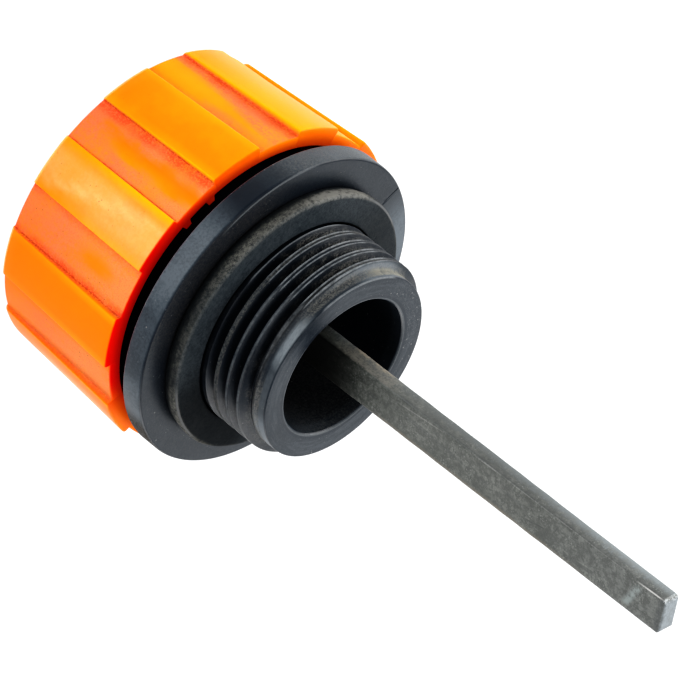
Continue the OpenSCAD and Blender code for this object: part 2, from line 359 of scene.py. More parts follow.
def thread_line():
    """Radius 0..1 over one pitch, against the distance from the crest's middle in mm."""
    h = MAJOR - ROOT
    pts = fillets([(-PITCH / 2, -0.10), (-0.84, -0.10, 0.12, 3), (-0.29, h, 0.04, 3), (-0.15, h - 0.13, 0.06, 2),
                   (0.13, h - 0.13, 0.06, 2), (0.28, h, 0.05, 3), (0.80, 0.0, 0.16, 4), (PITCH / 2, -0.10)])
    return pts[:, 0], pts[:, 1] / h


def fade(T):
    """How high the crest stands along the helix, counted in turns: full, then the run-out."""
    return np.interp(T, [3.12, 3.19, 3.26, 3.34], [1, 0.80, 0.38, 0])


def thread_radius(a, z):
    """Radius of the threaded neck at an angle (radians, 0..2 pi) and a height."""
    turns = (z - CREST0) / PITCH - a / TAU
    n = np.round(turns)
    x = (turns - n) * PITCH
    T = n + np.where(a > math.radians(250), a / TAU - 1, a / TAU) + np.where(a > math.radians(250), 1, 0)
    line_x, line_h = thread_line()
    h = np.interp(x, line_x, line_h)
    deg = np.degrees(a)
    h = np.where(np.abs(x) < 0.28, h + (1 - h) * smooth(deg, 30, 38) * (1 - smooth(deg, 240, 250)), h) * fade(T)
    r = ROOT + (MAJOR - ROOT) * h
    r = r + 0.018 * waves(a, z, 21, 3.0) * smooth(h, 0.4, 1)
    base = ROOT - 0.12 + (PILOT - ROOT + 0.12) * smooth(z, 33.3, 33.9)
    chamfer = PILOT + np.maximum(34.30 - z, 0) * 2.2
    return np.maximum(np.minimum(np.minimum(r, MAJOR), chamfer), base), h, T


def ring_parts():
    """The plug's angles, shared by every ring."""
    a = list(np.linspace(0, 360, 342, endpoint=False))
    a += list(np.arange(-59.4, -56.2, 0.2))
    return np.radians(np.unique(np.round(np.mod(a, 360), 4)))


def plug():
    rad = ring_parts()
    nu = len(rad)
    # below the thread
    low = fillets([(0, 11.0), (5.0, 11.0, 0.3, 3), (5.0, 17.9, 0.3, 3), (9.2, 17.9, 0.2, 2), (9.2, 20.4, 0.2, 2),
                   (13.6, 20.4, 0.4, 3), (13.6, 4.0, 0.15, 2), (16.0, 4.0, 0.45, 3), (16.0, 8.55), (16.35, 9.0, 0.25, 3),
                   (16.0, 9.45), (16.0, 20.9, 0.35, 3), (20.4, 20.9, 0.38, 5), (20.4, 23.9, 0.34, 6),
                   (12.9, 23.9, 0.1, 1), (12.9, 26.2)])
    low = spread(low, 1.25)
    top = fillets([(PILOT, 34.4), (PILOT, 35.5, 0.16, 5), (9.2, 35.5, 0.12, 4), (9.0, 35.28, 0.12, 3), (9.0, 22.5, 0.05, 1),
                   (8.3, 22.5, 0.05, 1), (8.3, 20.4, 0.1, 2), (0, 20.4)])
    top = spread(top, 1.1)

    def turned(line):
        R = np.broadcast_to(line[:, None, 0], (len(line), nu)).copy()
        Z = np.broadcast_to(line[:, None, 1], (len(line), nu)).copy()
        A = np.broadcast_to(rad[None, :], R.shape)
        return R, Z, A
    R1, Z1, A1 = turned(low)
    # flange: slightly uneven edge, and the knit line across its face
    az = wrap(np.degrees(A1))
    fl = (R1 > 16.4) & (Z1 > 20.5)
    R1 = R1 + np.where((R1 > 20) & fl, 0.03 * waves(A1, Z1, 31, 0.1), 0)
    knit_az = -57.8 + 0.22 * np.sin(R1 * 3.1) + 0.25 * (R1 - 19)
    dist = np.abs(np.radians(az - knit_az)) * R1
    knit = np.exp(-(dist / 0.07) ** 2) * smooth(R1, 17.2, 17.8) * fl * (Z1 > 23.2)
    Z1 = Z1 - 0.13 * knit * (Z1 > 23.6)
    R1 = R1 - 0.12 * knit * (R1 > 20.0)
    low_ring = R1[-1]
    # the thread, on a grid that follows the helix
    line_x, _ = thread_line()
    phases = line_x[:-1] / PITCH                                      # one pitch, without its last point
    full = np.append(rad, TAU)
    k0, k1 = -3, 5
    rows = np.array([k + p for k in range(k0, k1) for p in phases])
    Z2 = CREST0 + PITCH * (rows[:, None] + full[None, :] / TAU)
    Z2 = np.clip(Z2, 26.2, 34.4)
    A2 = np.broadcast_to(full[None, :], Z2.shape)
    R2, H2, T2 = thread_radius(np.where(A2 >= TAU, 0.0, A2), Z2)
    R3, Z3, A3 = turned(top)
    face = (Z3 > 35.3) & (R3 > 9)
    R3 = R3 + np.where(R3 > 11, 0.02 * waves(A3, Z3, 33, 0.5) * smooth(Z3, 34.6, 35.2), 0)

    def xyz(R, Z, A):
        return np.stack([R * np.cos(A), R * np.sin(A), Z], -1)
    P1, P2, P3 = xyz(R1, Z1, A1), xyz(R2, Z2, A2), xyz(R3, Z3, A3)
    P1[0, :, :2] = 0
    P3[-1, :, :2] = 0
    # rings that close the gaps between the three parts
    ra, _, _ = thread_radius(rad, np.full(nu, 26.2))
    rb, _, _ = thread_radius(rad, np.full(nu, 34.4))
    J1 = np.stack([P1[-1], xyz(ra, np.full(nu, 26.2), rad)])
    J2 = np.stack([xyz(rb, np.full(nu, 34.4), rad), P3[0]])
    parts, quads, base = [], [], 0
    for P, close in ((P1, True), (J1, True), (P2, False), (J2, True), (P3, True)):
        n, m = P.shape[:2]
        quads.append(tube_quads(n, m, close) + base)
        parts.append(P.reshape(-1, 3))
        base += n * m
    V = np.concatenate(parts)
    V, F, _ = weld(V, np.concatenate(quads), {})
    o = mesh("plug_body_skin", V, F)
    return o


def boolean(o, cutter, op):
    m = o.modifiers.new("b", "BOOLEAN")
    m.operation, m.solver, m.object = op, "EXACT", cutter
    dg = bpy.context.evaluated_depsgraph_get()
    me = bpy.data.meshes.new_from_object(o.evaluated_get(dg))
    o.modifiers.clear()
    old = o.data
    o.data = me
    bpy.data.meshes.remove(old)
    bpy.data.objects.remove(cutter)


def prism(points, z0, z1, place=None):
    """A closed prism over a polygon."""
    n = len(points)
    V = [(x, y, z0) for x, y in points] + [(x, y, z1) for x, y in points]
    F = [tuple(range(n - 1, -1, -1)), tuple(range(n, 2 * n))] + [(i, (i + 1) % n, n + (i + 1) % n, n + i) for i in range(n)]
    V = np.array(V, float)
    if place is not None:
        V = place(V)
    return V, F


def join_shells(name, shells):
    V, F, base = [], [], 0
    for v, f in shells:
        V.append(v)
        F += [tuple(i + base for i in g) for g in f]
        base += len(v)
    return mesh(name, np.concatenate(V), F)


def circle(cx, cy, r, n, shift=0.0):
    return [(cx + r * math.cos(TAU * (i + shift) / n), cy + r * math.sin(TAU * (i + shift) / n)) for i in range(n)]


def turn_z(deg):
    c, s = math.cos(math.radians(deg)), math.sin(math.radians(deg))
    return lambda V: V @ np.array([[c, s, 0], [-s, c, 0], [0, 0, 1]])


def box_points(x0, x1, y0, y1):
    return [(x0, y0), (x1, y0), (x1, y1), (x0, y1)]


def finish_plug(o):
    cuts = [prism(box_points(-2.43, 2.43, -1.13, 1.13), 12.5, 32.5, stick_place)]
    for i in range(6):
        a = math.radians(30 + i * 60)
        cuts.append(prism(circle(6.6 * math.cos(a), 6.6 * math.sin(a), 0.9, 24), 16.9, 21.9))
    boolean(o, join_shells("cut", cuts), "DIFFERENCE")
    notches = [prism(box_points(13.0, 16.6, -1.5, 1.5), 3.0, 6.5, turn_z(28.5 + 67.5 + i * 90)) for i in range(4)]
    boolean(o, join_shells("cut", notches), "DIFFERENCE")
    keys = [prism(box_points(15.4, 17.1, -1.5, 1.5), 6.0, 12.0, turn_z(51.0 + i * 90)) for i in range(4)]
    boolean(o, join_shells("add", keys), "UNION")
    o.data.shade_smooth()
    sharpen(o, 50)


# ---------------------------------------------------------------- seal, guard, foam
def lathe(name, pts, n=240, most=0.6, wobble=None, closed=False, caps=True):
    line = spread(fillets(pts), most)
    rad = np.linspace(0, TAU, n, endpoint=False)
    R = np.broadcast_to(line[:, None, 0], (len(line), n)).copy()
    Z = np.broadcast_to(line[:, None, 1], (len(line), n)).copy()
    A = np.broadcast_to(rad[None, :], R.shape)
    if wobble is not None:
        R, Z = wobble(R, Z, A)
    P = np.stack([R * np.cos(A), R * np.sin(A), Z], -1)
    V, F, _ = weld(P.reshape(-1, 3), tube_quads(*R.shape), {})
    return mesh(name, V, F)


def seal():
    def wobble(R, Z, A):
        out = smooth(R, 16.2, 16.9)
        R = R + out * (0.03 * waves(A, Z, 41, 2) + 0.012 * waves(A * 5, Z, 42, 4))
        Z = Z + smooth(R, 13.5, 14.2) * (Z > 25) * (0.012 * waves(A, R, 43, 1.5) - 0.012)
        return R, Z
    pts = [(13.3, 24.2), (13.3, 26.15, 0.15, 3), (17.0, 26.15, 0.42, 7), (16.99, 25.15, 0.8, 4), (16.7, 24.0, 0.3, 4),
           (16.2, 23.9, 0.2, 2), (13.3, 23.9, 0.12, 2), (13.3, 24.2)]
    o = lathe("seal_ring_skin", pts, 360, 0.45, wobble)
    sharpen(o, 60)
    return o


def guard():
    pts = [(0, 22.5), (8.96, 22.5, 0.1, 2), (8.96, 25.1, 0.12, 3), (8.2, 25.1, 0.12, 3), (8.0, 23.7, 0.25, 3), (0, 23.7)]
    o = lathe("splash_guard_skin", pts, 180, 0.8)
    cuts = [prism(box_points(-2.65, 2.65, -1.35, 1.35), 20.5, 26.5, stick_place)]
    cuts += [prism(circle(5.2 * math.cos(i * TAU / 4), 5.2 * math.sin(i * TAU / 4), 1.1, 28, 0.37), 21.5, 25.5) for i in range(4)]
    boolean(o, join_shells("cut", cuts), "DIFFERENCE")
    o.data.shade_smooth()
    sharpen(o, 40)
    return o


def foam():
    def wobble(R, Z, A):
        g = np.random.default_rng(5)
        R = R + 0.10 * g.uniform(-1, 0.2, R.shape)
        Z = Z + np.where(Z > 14, -0.10, 0.10) * g.uniform(0, 1, Z.shape)
        return R, Z
    pts = [(5.45, 10.0, 0.2, 2), (13.35, 10.0, 0.3, 3), (13.35, 17.85, 0.3, 3), (5.45, 17.85, 0.3, 3), (5.45, 10.0)]
    pts = [(5.45, 13.0), (5.45, 17.85, 0.3, 3), (13.3, 17.85, 0.3, 3), (13.3, 10.0, 0.3, 3), (5.45, 10.0, 0.3, 3), (5.45, 13.0)]
    line = spread(fillets(pts), 0.45)[:-1]
    n = 190
    rad = np.linspace(0, TAU, n, endpoint=False)
    R = np.broadcast_to(line[:, None, 0], (len(line), n)).copy()
    Z = np.broadcast_to(line[:, None, 1], (len(line), n)).copy()
    A = np.broadcast_to(rad[None, :], R.shape)
    R, Z = wobble(R, Z, A)
    R = np.clip(R, 5.35, 13.38)
    P = np.stack([R * np.cos(A), R * np.sin(A), Z], -1).reshape(-1, 3)
    q = tube_quads(len(line), n)
    m = len(line)
    u = np.arange(n)
    last = np.stack([(m - 1) * n + u, (m - 1) * n + (u + 1) % n, (u + 1) % n, u], -1)
    return mesh("foam_filter_skin", P, np.concatenate([q, last]))


# ---------------------------------------------------------------- dipstick
def dipstick():
    w, t, z0, z1 = 2.4, 1.1, 12.5, 87.1
    section = fillets([(0, -t), (w, -t, 0.26, 4), (w, t, 0.26, 4), (-w, t, 0.26, 4), (-w, -t, 0.26, 4), (0, -t)])[:-1]
    sec = spread(np.vstack([section, section[:1]]), 0.4)[:-1]
    # lengthways stations, closer together at the tip
    zs = list(np.linspace(z0 + 0.5, 84.5, 150)) + list(np.linspace(84.5, z1 - 0.5, 8))[1:]
    rings = []
    tips = []

    def ring(z, sx, sy, dz=0.0):
        p = np.empty((len(sec), 3))
        p[:, 0] = sec[:, 0] * sx
        p[:, 1] = sec[:, 1] * sy
        p[:, 2] = z
        return p
    body = []
    body.append(ring(z0, 0.0, 0.0))
    for k, (sx, sy) in enumerate(((0.80, 0.86), (0.84, 0.93), (0.9, 0.97))):
        body.append(ring(z0 + 0.03 * k + (0.0 if k == 0 else 0.1), sx, sy))
    for z in zs:
        body.append(ring(z, 1, 1))
    # sheared tip: long corners cut at 45 degrees, edges broken
    for z, cut, sy in ((z1 - 0.46, 0.04, 1), (z1 - 0.34, 0.12, 0.99), (z1 - 0.24, 0.22, 0.975), (z1 - 0.15, 0.33, 0.95),
                       (z1 - 0.08, 0.44, 0.915), (z1 - 0.03, 0.55, 0.87), (z1, 0.68, 0.80)):
        p = ring(z, 1, sy)
        lim = w - cut
        p[:, 0] = np.clip(p[:, 0], -lim, lim)
        body.append(p)
    for k in (0.75, 0.4):
        p = body[-1].copy()
        p[:, :2] *= k / (0.75 if k == 0.4 else 1) if k == 0.4 else k
        body.append(p)
    body.append(ring(z1, 0.0, 0.0))
    P = np.array(body)
    Z = P[..., 2]
    ang = np.arctan2(P[..., 1], P[..., 0])
    # drawn and sheared bar: faces not quite flat, edges not quite straight
    mid = smooth(Z, 30, 34)
    g = np.random.default_rng(9)
    wob = 0
    for _ in range(9):
        f = g.uniform(0.15, 1.7)
        wob = wob + np.sin(Z * f + g.uniform(0, TAU) + 2 * ang * g.integers(0, 3)) * g.uniform(0.3, 1) / (1 + f)
    scale = 1 + 0.006 * wob * mid
    P[..., 0] *= scale
    P[..., 1] *= scale
    n, m = P.shape[:2]
    V, F, _ = weld(P.reshape(-1, 3), tube_quads(n, m), {})
    V = stick_place(V)
    o = mesh("dipstick_skin", V, F)
    sharpen(o, 35)
    return o


# ---------------------------------------------------------------- materials
class Tree:
    def __init__(self, name):
        self.m = bpy.data.materials.new(name)
        self.m.use_nodes = True
        self.t = self.m.node_tree
        self.t.nodes.clear()
        self.out = self.t.nodes.new("ShaderNodeOutputMaterial")
        self.b = self.t.nodes.new("ShaderNodeBsdfPrincipled")
        self.t.links.new(self.b.outputs[0], self.out.inputs[0])
        self.pos = self.t.nodes.new("ShaderNodeTexCoord").outputs["Object"]
        self.xyz = None

    def node(self, kind, **sockets):
        n = self.t.nodes.new(kind)
        for k, v in sockets.items():
            self.put(n.inputs[k.replace("_", " ")] if isinstance(k, str) else n.inputs[k], v)
        return n

    def put(self, socket, v):
        if isinstance(v, bpy.types.NodeSocket):
            self.t.links.new(v, socket)
        else:
            socket.default_value = v

    def math(self, op, a, b=0.0, c=0.0, clamp=False):
        n = self.t.nodes.new("ShaderNodeMath")
        n.operation = op
        n.use_clamp = clamp
        for s, v in zip(n.inputs, (a, b, c)):
            self.put(s, v)
        return n.outputs[0]

    def add(self, a, b, clamp=False):
        return self.math("ADD", a, b, clamp=clamp)

    def mul(self, a, b, clamp=False):
        return self.math("MULTIPLY", a, b, clamp=clamp)

    def sub(self, a, b, clamp=False):
        return self.math("SUBTRACT", a, b, clamp=clamp)

    def ramp(self, x, a, b, lo=0.0, hi=1.0):
        """x from a..b to lo..hi, held at the ends, with a soft start and stop."""
        n = self.t.nodes.new("ShaderNodeMapRange")
        n.interpolation_type = "SMOOTHSTEP"
        for s, v in zip(n.inputs, (x, a, b, lo, hi)):
            self.put(s, v)
        return n.outputs[0]

    def mix(self, f, a, b):
        n = self.t.nodes.new("ShaderNodeMix")
        n.data_type = "RGBA"
        n.clamp_factor = True
        self.put(n.inputs[0], f)
        self.put(n.inputs[6], a if isinstance(a, bpy.types.NodeSocket) else (*a, 1))
        self.put(n.inputs[7], b if isinstance(b, bpy.types.NodeSocket) else (*b, 1))
        return n.outputs[2]

    def noise(self, scale, detail=3.0, rough=0.55, at=None, stretch=None, distortion=0.0):
        """Noise with features about 1/scale mm across."""
        v = self.pos if at is None else at
        if stretch is not None:
            mp = self.t.nodes.new("ShaderNodeMapping")
            self.put(mp.inputs["Vector"], v)
            mp.inputs["Scale"].default_value = stretch
            v = mp.outputs[0]
        n = self.t.nodes.new("ShaderNodeTexNoise")
        self.put(n.inputs["Vector"], v)
        n.inputs["Scale"].default_value = scale * 1000
        n.inputs["Detail"].default_value = detail
        n.inputs["Roughness"].default_value = rough
        n.inputs["Distortion"].default_value = distortion
        return n.outputs[0]

    def cells(self, scale, feature="F1"):
        n = self.t.nodes.new("ShaderNodeTexVoronoi")
        n.feature = feature
        self.put(n.inputs["Vector"], self.pos)
        n.inputs["Scale"].default_value = scale * 1000
        return n.outputs[0]

    def attr(self, name):
        n = self.t.nodes.new("ShaderNodeAttribute")
        n.attribute_name = name
        return n.outputs["Fac"]

    def split(self):
        if self.xyz is None:
            n = self.t.nodes.new("ShaderNodeSeparateXYZ")
            self.put(n.inputs[0], self.pos)
            self.xyz = [self.mul(s, 1000.0) for s in n.outputs]
        return self.xyz

    def radius(self):
        x, y, _ = self.split()
        return self.math("SQRT", self.add(self.mul(x, x), self.mul(y, y)))

    def azimuth(self, centre):
        """Degrees from an azimuth, -180..180."""
        x, y, _ = self.split()
        c, s = math.cos(math.radians(centre)), math.sin(math.radians(centre))
        xr = self.add(self.mul(x, c), self.mul(y, s))
        yr = self.sub(self.mul(y, c), self.mul(x, s))
        return self.mul(self.math("ARCTAN2", yr, xr), 180 / math.pi)

    def lobe(self, centre, half, soft):
        """1 within half degrees of an azimuth, 0 past half and soft."""
        return self.ramp(self.math("ABSOLUTE", self.azimuth(centre)), half, half + soft, 1.0, 0.0)

    def band(self, x, a, b, c, d):
        """0 below a, 1 from b to c, 0 past d."""
        return self.mul(self.ramp(x, a, b), self.ramp(x, c, d, 1.0, 0.0))

    def lift(self):
        """How far the surface faces up, -1..1."""
        n = self.t.nodes.new("ShaderNodeSeparateXYZ")
        self.put(n.inputs[0], self.t.nodes.new("ShaderNodeNewGeometry").outputs["Normal"])
        return n.outputs[2]

    def polar(self, along, across):
        """Radius and azimuth as a texture place, stretched."""
        n = self.t.nodes.new("ShaderNodeCombineXYZ")
        self.put(n.inputs[0], self.mul(self.radius(), along / 1000))
        self.put(n.inputs[1], self.mul(self.azimuth(-135), across / 1000))
        self.put(n.inputs[2], self.mul(self.split()[2], 0.0003))
        return n.outputs[0]

    def near(self, point, size):
        """1 at a point in mm, 0 past size."""
        n = self.t.nodes.new("ShaderNodeVectorMath")
        n.operation = "DISTANCE"
        self.put(n.inputs[0], self.pos)
        n.inputs[1].default_value = [p / 1000 for p in point]
        return self.ramp(n.outputs["Value"], size * 0.0006, size * 0.001, 1.0, 0.0)

    def most(self, *xs):
        out = xs[0]
        for x in xs[1:]:
            out = self.math("MAXIMUM", out, x)
        return out

    def bumps(self, *layers):
        """layers of (height, mm)."""
        normal = None
        for height, mm in layers:
            n = self.t.nodes.new("ShaderNodeBump")
            n.inputs["Strength"].default_value = 1.0
            n.inputs["Distance"].default_value = mm / 1000
            self.put(n.inputs["Height"], height)
            if normal is not None:
                self.put(n.inputs["Normal"], normal)
            normal = n.outputs[0]
        self.put(self.b.inputs["Normal"], normal)

    def set(self, **v):
        for k, x in v.items():
            self.put(self.b.inputs[k.replace("_", " ")], x)
        return self.m


def knob_material():
    t = Tree("orange_plastic")
    film, dust_and_sheen, corner_dirt_and_shade, edge = t.attr("film"), t.attr("dust_and_sheen"), t.attr("corner_dirt_and_shade"), t.attr("edge")
    lit_yellow, limb_highlight, limb_sheen = t.attr("lit_yellow"), t.attr("limb_highlight"), t.attr("limb_sheen")
    rim, inside, edge_glint = t.attr("rim"), t.attr("inside"), t.attr("edge_glint")
    blot = t.noise(0.22, 4, 0.6)
    grain = t.noise(2.2, 4, 0.65)
    fine = t.noise(7.0, 3, 0.6)
    streak = t.noise(0.55, 4, 0.6, stretch=(1, 1, 0.22))
    crumbs = t.noise(4.0, 3, 0.7)
    col = t.mix(t.ramp(blot, 0.35, 0.65), (0.97, 0.222, 0.0002), (0.98, 0.26, 0.0003))
    # painted shade: a darker orange on the side of the knob that gets less light
    col = t.mix(t.mul(t.lobe(121, 45, 30), t.ramp(t.radius(), 11, 18)), col, (0.97, 0.188, 0.0002))
    gritty = t.noise(6.0, 4, 0.75)
    # painted shade: redder orange in the middle of one groove
    col = t.mix(t.mul(t.attr("tan"), 0.75), col, (0.96, 0.150, 0.0006))
    # painted light: yellower where more light falls
    col = t.mix(t.mul(lit_yellow, 0.9), col, (0.98, 0.405, 0.001))
    # pink film of dust in the grooves, broken up
    f = t.mul(film, t.ramp(t.add(t.mul(streak, 0.45), t.mul(grain, 0.55)), 0.38, 0.54, 0.55, 1.10), clamp=True)
    dusky = t.mix(t.attr("warm"), (0.97, 0.184, 0.062), (0.97, 0.245, 0.066))
    col = t.mix(t.mul(f, 0.95), col, dusky)
    col = t.mix(t.mul(f, t.ramp(gritty, 0.47, 0.68, 0.0, 0.62)), col, (0.76, 0.105, 0.045))
    # dirt and painted shade in the groove corners
    d = t.mul(corner_dirt_and_shade, t.ramp(t.add(t.mul(streak, 0.25), t.mul(crumbs, 0.75)), 0.38, 0.58, 0.30, 1.35), clamp=True)
    col = t.mix(t.mul(d, 0.9), col, (0.84, 0.070, 0.020))
    # dirt and painted shadow line at the foot of the steps
    ln = t.mul(t.attr("line"), t.ramp(crumbs, 0.38, 0.58, 0.35, 1.0), clamp=True)
    col = t.mix(t.mul(ln, 0.8), col, (0.45, 0.03, 0.008))
    # dust and painted sheen on the pads
    c = t.mul(dust_and_sheen, t.add(t.ramp(streak, 0.32, 0.66, 0.42, 0.54), t.ramp(grain, 0.40, 0.62, 0.42, 0.62)), clamp=True)
    col = t.mix(c, col, (0.99, 0.50, 0.170))
    # painted highlight at the limb
    col = t.mix(t.mul(limb_highlight, 0.75), col, (0.99, 0.40, 0.085))
    # painted sheen, pale pink, broken up by streaks
    col = t.mix(t.mul(limb_sheen, t.ramp(t.add(t.mul(streak, 0.6), t.mul(grain, 0.4)), 0.38, 0.60, 0.55, 0.92)), col, (0.95, 0.42, 0.195))
    # painted highlight along the pad edges
    col = t.mix(t.mul(edge_glint, 0.7), col, (0.99, 0.50, 0.004))
    # painted shade on the rim face: dark red where it gets least light, orange towards the sides that catch light
    x, y, z = t.split()
    turn = t.azimuth(80)
    bright = t.most(t.ramp(turn, -22, -92), t.ramp(turn, 24, 48))
    red = t.mix(bright, (0.82, 0.005, 0.0004), (1.0, 0.165, 0.001))
    col = t.mix(rim, col, red)
    # painted highlight on the rim's inner edge
    col = t.mix(t.mul(t.attr("inner"), 0.6), col, (0.80, 0.085, 0.055))
    # painted shade on the rib ends at the rim
    col = t.mix(t.mul(t.attr("ribbed"), 0.9), col, (0.42, 0.005, 0.010))
    # painted shade inside the shell
    col = t.mix(inside, col, (0.60, 0.012, 0.006))
    # painted highlight on the rounding of the flat end
    col = t.mix(t.mul(edge, 0.65), col, (0.99, 0.62, 0.18))
    # dark specks of grit
    keep = t.ramp(t.noise(0.5, 2, 0.5), 0.48, 0.56)
    sp = t.mul(t.most(t.ramp(t.cells(1.25), 0.05, 0.15, 1.0, 0.0), t.mul(t.ramp(t.cells(2.6), 0.08, 0.20, 1.0, 0.0), 0.45)), keep)
    sp = t.mul(sp, t.add(0.25, t.most(t.mul(f, 0.75), t.mul(c, 0.75)), clamp=True))
    col = t.mix(t.mul(sp, 0.85), col, (0.30, 0.07, 0.015))
    rough = t.add(0.36, t.add(t.mul(f, 0.2), t.mul(t.sub(grain, 0.5), 0.18)))
    t.bumps((t.noise(0.35, 3, 0.5), 0.02), (grain, 0.008), (t.mul(f, gritty), 0.02), (fine, 0.0025))
    # painted glow: the rim face emits red light, standing in for light through the orange wall
    glow = t.mix(t.mul(rim, 0.5), (0, 0, 0), red)
    t.set(Emission_Color=glow, Emission_Strength=0.35)
    return t.set(Base_Color=col, Roughness=rough, IOR=1.5, Specular_IOR_Level=0.045, Subsurface_Weight=0.35,
                 Subsurface_Radius=(1.0, 0.25, 0.04), Subsurface_Scale=0.0022)


def plug_material():
    t = Tree("black_plastic")
    x, y, z = t.split()
    r = t.radius()
    lift = t.lift()
    blot = t.noise(0.25, 4, 0.6)
    grain = t.noise(3.0, 4, 0.65)
    fine = t.noise(9.0, 3, 0.6)
    dusty = t.noise(3.6, 7, 0.8)
    powder = t.noise(11.0, 5, 0.8)
    col = t.mix(t.ramp(blot, 0.35, 0.65), (0.0032, 0.0060, 0.0105), (0.0052, 0.0086, 0.0138))
    neck = t.mul(t.ramp(z, 26.0, 26.3), t.ramp(r, 9.6, 10.5))
    pilot = t.band(z, 33.5, 34.1, 35.3, 35.45)
    side = t.mul(t.ramp(r, 20.2, 20.35), t.ramp(z, 23.6, 23.9, 1.0, 0.0))
    face = t.mul(t.band(z, 23.7, 23.85, 24.0, 24.1), t.ramp(r, 20.1, 20.2, 1.0, 0.0))
    end = t.mul(t.ramp(z, 35.38, 35.46), t.ramp(r, 9.6, 9.8))
    # painted sheen, bluish: lobes round the flange, the pilot and the faces
    painted_sheen = t.mul(side, t.most(t.mul(t.lobe(-33, 10, 46), 0.62), t.mul(t.lobe(52, 10, 18), 0.66),
                              t.mul(t.lobe(106, 4, 14), 0.78), t.mul(t.lobe(84, 8, 16), 0.34)))
    # millimetres along the axis from the nearest crest's middle
    turns = t.sub(t.mul(t.sub(z, CREST0), 1 / PITCH), t.mul(t.azimuth(0), 1 / 360))
    off = t.mul(t.sub(turns, t.math("ROUND", turns)), PITCH)
    land = t.band(z, 34.15, 34.50, 35.15, 35.5)
    painted_sheen = t.add(painted_sheen, t.mul(pilot, t.most(t.mul(t.lobe(-20, 8, 20), 0.9), t.mul(t.lobe(119, 6, 20), 1.0), 0.10)))
    painted_sheen = t.add(painted_sheen, t.mul(face, t.mul(t.lobe(-92, 12, 26), 0.95)))
    painted_sheen = t.add(painted_sheen, t.mul(end, t.mul(t.sub(1.0, t.lobe(35, 10, 26)), 0.03)))
    painted_sheen = t.mul(painted_sheen, t.ramp(t.add(t.mul(blot, 0.4), t.mul(grain, 0.6)), 0.38, 0.60, 0.66, 1.18))
    col = t.mix(painted_sheen, col, (0.088, 0.106, 0.123))
    # painted highlight on the pilot land
    brush = t.noise(1.1, 5, 0.7, stretch=(1, 1, 2.2))
    pilot_highlight = t.mul(t.mul(land, t.most(t.lobe(53, 7, 15), t.mul(t.lobe(84, 8, 14), 0.22))), t.ramp(brush, 0.34, 0.56, 0.72, 1.0))
    col = t.mix(t.mul(pilot_highlight, 0.95), col, (0.165, 0.188, 0.205))
    # turning marks and fine dirt on the end, brown dirt on the flange's lower face
    rings = t.noise(2.2, 4, 0.7, at=t.polar(1.0, 0.02))
    col = t.mix(t.mul(end, t.ramp(rings, 0.46, 0.66, 0.0, 0.15)), col, (0.10, 0.115, 0.13))
    spot = t.add(0.18, t.mul(t.lobe(-64, 24, 16), 0.45))
    col = t.mix(t.mul(end, t.mul(t.ramp(t.add(t.mul(powder, 0.5), t.mul(dusty, 0.5)), 0.50, 0.62), spot)), col, (0.12, 0.132, 0.140))
    dirt = t.mul(face, t.add(t.mul(t.lobe(48, 26, 22), 0.34), t.mul(t.lobe(150, 30, 30), 0.05)))
    col = t.mix(t.mul(dirt, t.ramp(t.add(t.mul(dusty, 0.5), t.mul(powder, 0.5)), 0.45, 0.58, 0.06, 1.1)), col, (0.064, 0.056, 0.048))
    # dust: on what faces up, thick on the pilot's upper side and in the thread's run-out
    top = t.lobe(-25, 22, 40)
    shelf = t.ramp(lift, -0.15, 0.45)
    patchy = t.ramp(t.noise(0.45, 3, 0.6), 0.40, 0.62, 0.15, 1.0)
    threads = t.mul(neck, t.ramp(z, 34.0, 34.3, 1.0, 0.0))
    foot = t.mul(shelf, t.ramp(r, 12.35, 12.95, 1.0, 0.12))
    shady = t.sub(1.0, t.mul(t.lobe(72, 34, 12), t.ramp(z, 31.0, 31.8, 0.90, 0.25)))
    amount = t.mul(t.mul(t.mul(threads, foot), shady), t.mul(patchy, t.add(t.mul(top, 0.50), 0.22)))
    # dusty crests: the second one and the last most
    crests = t.mul(threads, t.band(off, -0.36, -0.26, 0.24, 0.36))
    second = t.add(t.band(z, 27.5, 27.7, 28.7, 29.0), t.mul(t.band(z, 33.2, 33.4, 34.2, 34.4), t.mul(t.lobe(5, 24, 16), 0.9)))
    amount = t.add(amount, t.mul(crests, t.add(t.mul(second, 0.30), t.mul(patchy, 0.10))))
